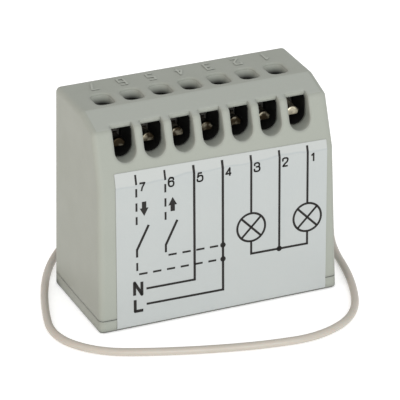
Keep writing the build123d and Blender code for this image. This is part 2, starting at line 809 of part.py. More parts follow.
def chip(name, places, size, face, legs=0, leg_width=leg_fine):
    # flat components on one face of the board
    width, height, thickness = size
    sign = -1 if face == "front" else 1
    surface = board_front if face == "front" else board_back
    solder = surface + sign * stand_off / 4
    with BuildPart() as chips:
        for x, z in places:
            box(across(x, width), (solder, surface + sign * thickness), across(z, height))
            for leg in range(legs):
                leg_z = z + height * ((leg + 0.5) / legs - 0.5)
                leg_y = (solder, surface + sign * thickness / 3)
                box(across(x, width + 3 * leg_width), leg_y, across(leg_z, leg_width))
    chips.part.label = name
    export_step(chips.part, f"parts/{name}.step")


# Chips below the power supply, on the board's front
chip_z = board_bottom + chip_foot
rectifier_place = (supply_right - rectifier_size[0] / 2 - chip_gap, chip_z + rectifier_size[1] / 2)
regulator_place = (film_left + regulator_size[0] / 2 + chip_gap, chip_z + regulator_size[1] / 2)
chip("rectifier", [rectifier_place], rectifier_size, "front", legs=2, leg_width=leg_stout)
chip("voltage_regulator", [regulator_place], regulator_size, "front", legs=2, leg_width=leg_stout)

# Chips on the board's back, clear of the pins
coil_pin_z = relay_lift + relay_pins[0][1]
fixed_pin_z = relay_lift + relay_pins[3][1]
between_relays = sum(relay_x) / 2
upper_row = fixed_pin_z + pin_size / 2 + chip_gap + radio_size[1] / 2
crystal_place = (relay_x[1], upper_row)
radio_x = relay_x[1] - crystal_size[0] / 2 - chip_gap - radio_size[0] / 2
radio_z = fuse_z - lead_size / 2 - leg_fine - radio_size[1] / 2
controller_place = (between_relays, (coil_pin_z + fixed_pin_z) / 2)
chip("microcontroller", [controller_place], microcontroller_size, "back", legs=8)
chip("radio_chip", [(radio_x, radio_z)], radio_size, "back", legs=5)
chip("crystal", [crystal_place], crystal_size, "back")
driver_places = [
    (between_relays, coil_pin_z - pin_size - chip_gap),
    (relay_x[1] - coil_pin_place, radio_z - radio_size[1] / 2 - leg_stout - driver_size[1] / 2),
]
chip("relay_drivers", driver_places, driver_size, "back", legs=2)
resistor_places = [(relay_x[0] + chip_pitch * (row - 1.5), upper_row) for row in range(chip_count)]
capacitor_x = -rail_inset + capacitor_size[0] / 2 + stand_off
capacitor_places = [(capacitor_x, coil_pin_z + chip_pitch * row) for row in range(chip_count)]
chip("chip_resistors", resistor_places, resistor_size, "back")
chip("chip_capacitors", capacitor_places, capacitor_size, "back")

# Main board: slides in between the rails, carries every pin
with BuildPart() as main_board:
    box(across(0, board_width), (board_front, board_back), (board_bottom, board_top))
    contact_z = (clamp_open_bottom + bar_top) / 2
    square_pins = [(x, contact_z) for x in terminal_x]
    for x in relay_x:
        square_pins = square_pins + [(x + pin_x, relay_lift + pin_z) for pin_x, pin_z in relay_pins]
    with BuildSketch(Plane.XZ.offset(-board_back - fit_gap)):
        with Locations(square_pins):
            Rectangle(pin_size + 2 * pin_gap, pin_size + 2 * pin_gap)
        with Locations(all_leads):
            Circle(lead_size / 2 + pin_gap)
    extrude(amount=2 * board_thickness, mode=Mode.SUBTRACT)
main_board.part.label = "main_board"
export_step(main_board.part, "parts/main_board.step")

# Aerial wire: soldered behind the board, out of the back wall, round the front on the table
wire_radius = wire_diameter / 2
wire_lay = wire_radius + 0.02
wire_points = [
    (wire_exit_x, board_back, wire_exit_height),
    (wire_exit_x, 14.6, wire_exit_height),
    (-10.2, 18.1, 5.2),
    (-14.0, 19.4, 3.2),
    (-17.8, 18.0, 1.3),
    (-22.2, 11.8, wire_lay),
    (-26.3, 1.6, wire_lay),
    (-29.0, -8.9, wire_lay),
    (-24.2, -16.6, wire_lay),
    (-15.7, -20.3, wire_lay),
    (-7.0, -23.1, wire_lay),
    (1.7, -25.2, wire_lay),
    (10.9, -26.1, wire_lay),
    (19.5, -21.5, wire_lay),
    (24.2, -9.5, wire_lay),
    (26.2, 3.0, wire_lay),
    (31.0, 13.4, wire_lay),
    (27.5, 23.6, wire_lay),
    (15.4, 27.2, wire_lay),
    (5.1, 27.6, wire_lay),
]


def corner_radii(points):
    # the radius that fits each corner of a route, 0.45 of its shorter run
    places = [Vector(*point) for point in points]
    radii = []
    for before, here, after in zip(places, places[1:], places[2:]):
        first = here - before
        second = after - here
        turn = radians(first.get_angle(second))
        shorter = min(first.length, second.length)
        radii.append(0.45 * shorter / tan(turn / 2))
    return radii


wire_bends = corner_radii(wire_points)
with BuildPart() as antenna_wire:
    with BuildLine() as route:
        FilletPolyline(*wire_points, radius=wire_bends)
    with BuildSketch(Plane(origin=wire_points[0], z_dir=(0, 1, 0))):
        Circle(wire_radius)
    sweep(path=route.wires()[0])
antenna_wire.part.label = "antenna_wire"
export_step(antenna_wire.part, "parts/antenna_wire.step")

route_length = route.wires()[0].length
section = pi * wire_radius**2
print("wire bends", [round(bend, 1) for bend in wire_bends])
volume_ratio = antenna_wire.part.volume / (section * route_length)
print("wire length", round(route_length, 1), "volume ratio", round(volume_ratio, 3))
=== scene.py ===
# Wireless light controller: camera, aerial wire, finishes, screwdriver guides,
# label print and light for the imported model
import math

import bmesh
import bpy
from mathutils import Matrix, Vector


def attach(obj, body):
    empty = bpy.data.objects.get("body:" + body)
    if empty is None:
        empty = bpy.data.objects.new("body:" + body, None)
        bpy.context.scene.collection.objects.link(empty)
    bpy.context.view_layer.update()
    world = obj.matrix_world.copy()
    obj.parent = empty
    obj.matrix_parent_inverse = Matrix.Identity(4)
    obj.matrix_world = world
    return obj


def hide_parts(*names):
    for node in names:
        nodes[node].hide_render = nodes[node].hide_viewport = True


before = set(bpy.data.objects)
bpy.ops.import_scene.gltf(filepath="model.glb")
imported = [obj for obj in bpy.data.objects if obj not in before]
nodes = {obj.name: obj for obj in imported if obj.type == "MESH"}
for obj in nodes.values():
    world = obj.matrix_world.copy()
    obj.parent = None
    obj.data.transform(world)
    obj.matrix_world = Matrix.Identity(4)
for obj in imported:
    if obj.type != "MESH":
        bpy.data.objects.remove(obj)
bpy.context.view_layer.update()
scene = bpy.context.scene
millimetre = 0.001
terminals = range(1, 8)  # numbered from right to left
middleTerminal = 4
print("frame loaded,", len(nodes), "CAD nodes")

# the camera stands where the picture was taken from
view = {
    "target": (0.77, -0.25, 15.53),  # mm, the middle of the picture
    "distance": 558.29,  # mm
    "turn": 23.196,  # degrees round from the front
    "tilt": 25.785,  # degrees downwards
    "roll": -0.223,  # degrees
    "sensor": 36.0,  # mm
    "focal": 305.95,  # mm
    "clip": (0.05, 20.0),  # m, the nearest and the farthest that it sees
}


def placeCamera(settings):
    turn = math.radians(settings["turn"])
    tilt = math.radians(settings["tilt"])
    roll = math.radians(settings["roll"])
    reach = math.cos(tilt)
    forward = Vector((math.sin(turn) * reach, math.cos(turn) * reach, -math.sin(tilt)))
    level = Vector((math.cos(turn), -math.sin(turn), 0))
    upright = level.cross(forward)
    right = level * math.cos(roll) + upright * math.sin(roll)
    up = right.cross(forward)
    spot = (Vector(settings["target"]) - forward * settings["distance"]) * millimetre
    data = bpy.data.cameras.new("camera")
    data.sensor_width = settings["sensor"]
    data.lens = settings["focal"]
    data.clip_start, data.clip_end = settings["clip"]
    camera = bpy.data.objects.new("camera", data)
    axes = Matrix((right, up, -forward)).transposed()
    camera.matrix_world = Matrix.Translation(spot) @ axes.to_4x4()
    scene.collection.objects.link(camera)
    scene.camera = camera


placeCamera(view)
print("camera placed")

# the aerial comes out of the back and lies round the front on the table
aerial = {
    "diameter": 1.3,  # mm
    "length": 0.1727,  # m
    "divisions": 16,  # from one point to the next
    "roundness": 6,
    "points": [  # mm
        (-8.0, 10.25, 6.6),
        (-8.0, 14.6, 6.6),
        (-10.2, 18.1, 5.2),
        (-14.0, 19.4, 3.2),
        (-17.8, 18.0, 1.3),
        (-22.2, 11.8, 0.67),
        (-26.3, 1.6, 0.67),
        (-29.0, -8.9, 0.67),
        (-24.2, -16.6, 0.67),
        (-15.7, -20.3, 0.67),
        (-7.0, -23.1, 0.67),
        (1.7, -25.2, 0.67),
        (10.9, -26.1, 0.67),
        (19.5, -21.5, 0.67),
        (24.2, -9.5, 0.67),
        (26.2, 3.0, 0.67),
        (31.0, 13.4, 0.67),
        (27.5, 23.6, 0.67),
        (15.4, 27.2, 0.67),
        (5.1, 27.6, 0.67),
    ],
}


def layAerial(settings):
    data = bpy.data.curves.new("aerial_wire", "CURVE")
    data.dimensions = "3D"
    spline = data.splines.new("NURBS")
    spline.points.add(len(settings["points"]) - 1)
    for point, place in zip(spline.points, settings["points"]):
        point.co = (*(Vector(place) * millimetre), 1)
        point.radius = settings["diameter"] / 2 * millimetre
    spline.order_u = 3
    spline.use_endpoint_u = True
    spline.resolution_u = settings["divisions"]
    data.bevel_depth = 1.0  # times the radius of each point
    data.bevel_resolution = settings["roundness"]
    data.use_fill_caps = True
    wire = bpy.data.objects.new("aerial_wire", data)
    scene.collection.objects.link(wire)
    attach(wire, "case")
    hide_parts("antenna_wire")
    return wire


wire = layAerial(aerial)
print("aerial laid")

# how the shared effects look, apart from the inputs of their groups
effects = {
    "pitScale": 1.6,  # how much finer the pits are than the grain
    "pitDepth": 0.5,
    "wearFrom": 0.98,  # cosine of the turn at which an edge begins
    "wearGain": 6.0,
    "wearPatches": 1.6,
    "patchRange": (0.35, 0.7),
    "rubRange": (0.66, 0.72),
    "rubScale": 3.0,  # how much finer the rubs are than the patches
    "rubStretch": (1.0, 6.0, 9.0),
    "rubTurn": (0.3, 0.5, 0.7),
    "tarnishAndShadeGain": 2.2,
    "noiseMiddle": 0.5,
    "openness": 0.7,  # painted shade begins where less than this is open
    "paintedShadeCurve": 1.2,
}


# shared effects, each one a node group
def newGroup(name, inputs, outputs):
    group = bpy.data.node_groups.new(name, "ShaderNodeTree")
    for label, value in inputs.items():
        kind = "NodeSocketVector" if isinstance(value, tuple) else "NodeSocketFloat"
        socket = group.interface.new_socket(label, in_out="INPUT", socket_type=kind)
        socket.default_value = value
    for label in outputs:
        group.interface.new_socket(label, in_out="OUTPUT", socket_type="NodeSocketFloat")
    start = group.nodes.new("NodeGroupInput")
    end = group.nodes.new("NodeGroupOutput")
    return group, start, end


def addNode(tree, kind, **values):
    node = tree.nodes.new(kind)
    for name, value in values.items():
        setattr(node, name, value)
    return node


def feed(tree, socket, value):
    # a socket takes a plain number, or what another node puts out
    if isinstance(value, (int, float)):
        socket.default_value = value
    else:
        tree.links.new(value, socket)


def mathNode(tree, operation, first, second=None, clamp=False):
    node = addNode(tree, "ShaderNodeMath", operation=operation, use_clamp=clamp)
    feed(tree, node.inputs[0], first)
    if second is not None:
        feed(tree, node.inputs[1], second)
    return node.outputs[0]


def mapRange(tree, value, source=(0.0, 1.0), target=(0.0, 1.0)):
    # spreads what lies in the source range over the target range
    spread = addNode(tree, "ShaderNodeMapRange")
    names = ("From Min", "From Max", "To Min", "To Max")
    for name, end in zip(names, (*source, *target)):
        feed(tree, spread.inputs[name], end)
    feed(tree, spread.inputs["Value"], value)
    return spread.outputs["Result"]


def objectPoint(tree):
    return addNode(tree, "ShaderNodeTexCoord").outputs["Object"]


def splitVector(tree, vector):
    split = addNode(tree, "ShaderNodeSeparateXYZ")
    tree.links.new(vector, split.inputs[0])
    return split.outputs


def dotProduct(tree, first, second):
    dot = addNode(tree, "ShaderNodeVectorMath", operation="DOT_PRODUCT")
    tree.links.new(first, dot.inputs[0])
    tree.links.new(second, dot.inputs[1])
    return dot.outputs["Value"]


def noiseNode(tree, scale, detail=3.0, roughness=0.5, point=None):
    noise = addNode(tree, "ShaderNodeTexNoise")
    feed(tree, noise.inputs["Scale"], scale)
    noise.inputs["Detail"].default_value = detail
    noise.inputs["Roughness"].default_value = roughness
    tree.links.new(point or objectPoint(tree), noise.inputs["Vector"])
    return noise.outputs["Fac"]


def makeMouldGrain():
    # the fine pitted skin that a spark-eroded mould leaves
    group, start, end = newGroup("mouldGrain", {"Scale": 3000.0}, ["Height", "Mask"])
    fine = noiseNode(group, start.outputs["Scale"], detail=4.0, roughness=0.6)
    pits = addNode(group, "ShaderNodeTexVoronoi", feature="SMOOTH_F1")
    pitScale = mathNode(group, "MULTIPLY", start.outputs["Scale"], effects["pitScale"])
    group.links.new(pitScale, pits.inputs["Scale"])
    group.links.new(objectPoint(group), pits.inputs["Vector"])
    sunk = mathNode(group, "MULTIPLY", pits.outputs["Distance"], effects["pitDepth"])
    group.links.new(mathNode(group, "ADD", fine, sunk), end.inputs["Height"])
    group.links.new(fine, end.inputs["Mask"])
    return group


def makeEdgeWear():
    # a mask along the edges, from how far a rounded normal turns from the true one: wear on most
    # finishes, and on the case partly wear and partly a painted highlight
    inputs = {"Radius": 0.0004, "Amount": 1.0, "Break Up": 900.0}
    group, start, end = newGroup("edgeWearAndSheen", inputs, ["Mask"])
    bevel = addNode(group, "ShaderNodeBevel", samples=6)
    group.links.new(start.outputs["Radius"], bevel.inputs["Radius"])
    trueNormal = addNode(group, "ShaderNodeNewGeometry").outputs["Normal"]
    along = dotProduct(group, bevel.outputs["Normal"], trueNormal)
    turned = mathNode(group, "SUBTRACT", effects["wearFrom"], along, clamp=True)
    strong = mathNode(group, "MULTIPLY", turned, effects["wearGain"], clamp=True)
    noise = noiseNode(group, start.outputs["Break Up"], detail=4.0, roughness=0.7)
    broken = mathNode(group, "MULTIPLY", noise, effects["wearPatches"])
    wornAndSheen = mathNode(group, "MULTIPLY", strong, broken, clamp=True)
    mask = mathNode(group, "MULTIPLY", wornAndSheen, start.outputs["Amount"], clamp=True)
    group.links.new(mask, end.inputs["Mask"])
    return group


def makeHandling():
    # large soft patches where it has been touched, and thin rubbed lines
    group, start, end = newGroup("handling", {"Scale": 120.0}, ["Patches", "Rubs"])
    patches = noiseNode(group, start.outputs["Scale"], detail=5.0, roughness=0.6)
    stretch = addNode(group, "ShaderNodeMapping")
    stretch.inputs["Scale"].default_value = effects["rubStretch"]
    stretch.inputs["Rotation"].default_value = effects["rubTurn"]
    group.links.new(objectPoint(group), stretch.inputs["Vector"])
    rubScale = mathNode(group, "MULTIPLY", start.outputs["Scale"], effects["rubScale"])
    rubs = noiseNode(group, rubScale, point=stretch.outputs[0])
    patchMask = mapRange(group, patches, source=effects["patchRange"])
    rubMask = mapRange(group, rubs, source=effects["rubRange"])
    group.links.new(patchMask, end.inputs["Patches"])
    group.links.new(rubMask, end.inputs["Rubs"])
    return group


def makeTurns():
    # turns of wire or tape round one axis of the object
    inputs = {"Scale": 2500.0, "Direction": (0.0, 0.0, 1.0)}
    group, start, end = newGroup("turns", inputs, ["Height", "Mask"])
    along = dotProduct(group, objectPoint(group), start.outputs["Direction"])
    phase = mathNode(group, "MULTIPLY", along, start.outputs["Scale"])
    wave = mathNode(group, "ABSOLUTE", mathNode(group, "SINE", phase))
    group.links.new(wave, end.inputs["Height"])
    group.links.new(mathNode(group, "SUBTRACT", 1.0, wave, clamp=True), end.inputs["Mask"])
    return group


def makeTarnish():
    # cloudy dark film on old metal; on the contacts it is also painted shade, giving darker copies
    # of one brass
    group, start, end = newGroup("tarnishAndShade", {"Scale": 700.0, "Amount": 0.5}, ["Mask"])
    clouds = noiseNode(group, start.outputs["Scale"], roughness=0.55)
    swing = mathNode(group, "SUBTRACT", clouds, effects["noiseMiddle"])
    spread = mathNode(group, "MULTIPLY", swing, effects["tarnishAndShadeGain"])
    mask = mathNode(group, "ADD", spread, start.outputs["Amount"], clamp=True)
    group.links.new(mask, end.inputs["Mask"])
    return group


def makeGrime():
    # painted shade: darkens the colour where the walls stand close together and less light reaches
    group, start, end = newGroup("paintedShade", {"Reach": 0.002, "Amount": 1.0}, ["Mask"])
    hollow = addNode(group, "ShaderNodeAmbientOcclusion", samples=8)
    group.links.new(start.outputs["Reach"], hollow.inputs["Distance"])
    openness = effects["openness"]
    deep = mathNode(group, "SUBTRACT", openness, hollow.outputs["AO"], clamp=True)
    share = mathNode(group, "DIVIDE", deep, openness)
    deeper = mathNode(group, "POWER", share, effects["paintedShadeCurve"])
    mask = mathNode(group, "MULTIPLY", deeper, start.outputs["Amount"], clamp=True)
    group.links.new(mask, end.inputs["Mask"])
    return group


def makeLevel():
    # a mask that grows from one height of the piece to another
    inputs = {"From": 0.0, "To": 0.01, "Gather": 1.0}
    group, start, end = newGroup("level", inputs, ["Mask"])
    height = splitVector(group, objectPoint(group))["Z"]
    grown = mapRange(group, height, source=(start.outputs["From"], start.outputs["To"]))
    gathered = mathNode(group, "POWER", grown, start.outputs["Gather"])
    group.links.new(gathered, end.inputs["Mask"])
    return group


groups = {
    "mouldGrain": makeMouldGrain(),
    "edgeWearAndSheen": makeEdgeWear(),
    "handling": makeHandling(),
    "turns": makeTurns(),
    "tarnishAndShade": makeTarnish(),
    "paintedShade": makeGrime(),
    "level": makeLevel(),
}
print("effect groups made:", len(groups))


def placeGroup(tree, name, **values):
    node = addNode(tree, "ShaderNodeGroup", node_tree=groups[name])
    for label, value in values.items():
        node.inputs[label].default_value = value
    return node


def mixColour(tree, factor, first, second):
    mix = addNode(tree, "ShaderNodeMix", data_type="RGBA")
    tree.links.new(factor, mix.inputs["Factor"])
    for name, value in (("A", first), ("B", second)):
        socket = [s for s in mix.inputs if s.name == name and s.type == "RGBA"][0]
        if isinstance(value, tuple):
            socket.default_value = (*value, 1)
        else:
            tree.links.new(value, socket)
    return [s for s in mix.outputs if s.type == "RGBA"][0]


def slopeMask(tree, slope):
    # picks the faces that lean forwards between two tilts, each given as how high
    # their normal points
    normal = splitVector(tree, addNode(tree, "ShaderNodeTexCoord").outputs["Normal"])
    steep, flat = slope["between"]
    over = mathNode(tree, "SUBTRACT", normal["Z"], steep)
    under = mathNode(tree, "SUBTRACT", flat, normal["Z"])
    above = mathNode(tree, "DIVIDE", over, slope["soft"], clamp=True)
    below = mathNode(tree, "DIVIDE", under, slope["soft"], clamp=True)
    aside = mathNode(tree, "DIVIDE", mathNode(tree, "ABSOLUTE", normal["X"]), slope["aside"])
    straight = mathNode(tree, "SUBTRACT", 1.0, aside, clamp=True)
    return mathNode(tree, "MULTIPLY", mathNode(tree, "MULTIPLY", above, below), straight)


def foldFilm(tree, colour, fold):
    # painted light: the film is painted paler above its fold, with a fine wavy line of painted
    # shade along it
    noise = noiseNode(tree, fold["waves"], detail=2.0)
    swing = mathNode(tree, "SUBTRACT", noise, effects["noiseMiddle"])
    wave = mathNode(tree, "MULTIPLY", swing, fold["swing"])
    wavy = mathNode(tree, "ADD", splitVector(tree, objectPoint(tree))["Z"], wave)
    height = mathNode(tree, "SUBTRACT", wavy, fold["height"])
    above = mathNode(tree, "DIVIDE", height, fold["width"], clamp=True)
    away = mathNode(tree, "DIVIDE", mathNode(tree, "ABSOLUTE", height), fold["width"])
    near = mathNode(tree, "SUBTRACT", 1.0, away, clamp=True)
    colour = mixColour(tree, above, colour, fold["above"])
    return mixColour(tree, near, colour, fold["line"])


# what a finish has where its own dictionary says nothing, lengths in metres
plainFinish = {
    "metallic": 0.0,
    "ior": 1.5,
    "specular": 0.5,
    "coat": 0.0,
    "coatRoughness": 0.1,
    "subsurface": 0.0,
    "subsurfaceScale": 0.0005,
    "patchScale": 120.0,
    "rubShine": -0.06,
    "grainScale": 3000.0,
    "speckle": 0.3,
    "bump": 0.4,
    "bumpDepth": 0.00001,
    "softEdge": 0.0,
    "turns": 0.0,
    "turnsDark": 0.7,
    "turnsHeight": 3.0,
    "wear": 0.0,
    "wearRadius": 0.0003,
    "tarnishAndShade": 0.0,
    "paintedShade": 0.0,
    "paintedShadeReach": 0.002,
    "slope": None,
    "fold": None,
    "level": None,
}
shaderSockets = {
    "Metallic": "metallic",
    "IOR": "ior",
    "Specular IOR Level": "specular",
    "Coat Weight": "coat",
    "Coat Roughness": "coatRoughness",
    "Subsurface Weight": "subsurface",
    "Subsurface Scale": "subsurfaceScale",
}


def finishColour(tree, look, grain, touched):
    # the colour of a finish, from its ground up to what lies on it
    colour = mixColour(tree, touched.outputs["Patches"], look["colour"], look["second"])
    if look["slope"]:
        mask = slopeMask(tree, look["slope"])
        colour = mixColour(tree, mask, colour, look["slope"]["colour"])
    speckle = mapRange(tree, grain.outputs["Mask"], target=(0.0, look["speckle"]))
    colour = mixColour(tree, speckle, colour, look["dark"])
    height = grain.outputs["Height"]
    if look["turns"] > 0:
        turns = placeGroup(tree, "turns", Scale=look["turns"], Direction=look["turnsAlong"])
        between = mapRange(tree, turns.outputs["Mask"], target=(0.0, look["turnsDark"]))
        colour = mixColour(tree, between, colour, look["dark"])
        raised = mathNode(tree, "MULTIPLY", turns.outputs["Height"], look["turnsHeight"])
        height = mathNode(tree, "ADD", raised, height)
    for effect, tone, inputs in (
        ("edgeWearAndSheen", "wornAndSheen", {"Amount": look["wear"], "Radius": look["wearRadius"]}),
        ("tarnishAndShade", "tarnishedAndShaded", {"Amount": look["tarnishAndShade"]}),
        ("paintedShade", "paintedShadeColour", {"Amount": look["paintedShade"], "Reach": look["paintedShadeReach"]}),
    ):
        if inputs["Amount"] > 0:
            layer = placeGroup(tree, effect, **inputs)
            colour = mixColour(tree, layer.outputs["Mask"], colour, look[tone])
    if look["fold"]:
        colour = foldFilm(tree, colour, look["fold"])
    if look["level"]:
        level = look["level"]
        spans = {"From": level["from"], "To": level["to"], "Gather": level["gather"]}
        reach = placeGroup(tree, "level", **spans)
        colour = mixColour(tree, reach.outputs["Mask"], colour, level["colour"])
    return colour, height


def makeFinish(name, ownLook):
    look = {**plainFinish, **ownLook}
    material = bpy.data.materials.new(name)
    material.use_nodes = True
    tree = material.node_tree
    shader = tree.nodes["Principled BSDF"]
    for socket, value in shaderSockets.items():
        shader.inputs[socket].default_value = look[value]
    grain = placeGroup(tree, "mouldGrain", Scale=look["grainScale"])
    touched = placeGroup(tree, "handling", Scale=look["patchScale"])
    colour, height = finishColour(tree, look, grain, touched)
    tree.links.new(colour, shader.inputs["Base Color"])
    shiny, dull = look["roughness"]
    wornAndSheen = mapRange(tree, touched.outputs["Patches"], target=(dull, shiny))
    rubbed = mathNode(tree, "MULTIPLY", touched.outputs["Rubs"], look["rubShine"])
    rough = mathNode(tree, "ADD", wornAndSheen, rubbed, clamp=True)
    tree.links.new(rough, shader.inputs["Roughness"])
    bump = addNode(tree, "ShaderNodeBump")
    bump.inputs["Strength"].default_value = look["bump"]
    bump.inputs["Distance"].default_value = look["bumpDepth"]
    tree.links.new(height, bump.inputs["Height"])
    if look["softEdge"] > 0:
        soft = addNode(tree, "ShaderNodeBevel", samples=8)
        soft.inputs["Radius"].default_value = look["softEdge"]
        tree.links.new(soft.outputs["Normal"], bump.inputs["Normal"])
    tree.links.new(bump.outputs["Normal"], shader.inputs["Normal"])
    return material


